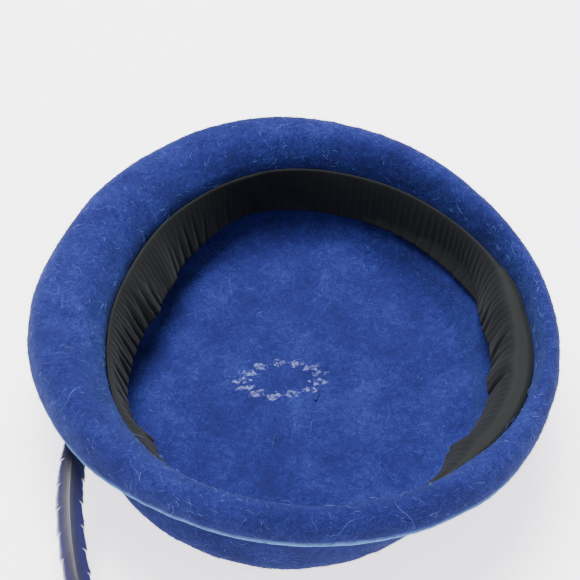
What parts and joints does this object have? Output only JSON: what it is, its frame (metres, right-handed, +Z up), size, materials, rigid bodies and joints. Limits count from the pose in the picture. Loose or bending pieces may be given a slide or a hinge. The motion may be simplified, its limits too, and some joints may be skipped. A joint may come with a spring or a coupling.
{
  "type": "pillbox hat",
  "caption": "Low felt pillbox hat lying crown down, with an outward-rolled brim, a gathered ribbon sweatband and a slim feather tucked under the brim.",
  "frame": {"origin": "middle of the flat outer face of the crown's tip, which rests on the surface", "axes": "+Z up out of the head opening; Y along the hat's long axis, from the feather's tip end to the far side; +X to the narrow side of the brim"},
  "size_m": [0.2066, 0.2582, 0.0581],
  "materials": {
    "felt": "fuzzy blue wool felt",
    "ribbon": "matte dark grosgrain, gathered",
    "feather": "dark navy with a violet sheen"
  },
  "bodies": {
    "root": {"felt_body": "felt", "sweatband": "ribbon", "feather": "feather"}
  },
  "joints": []
}
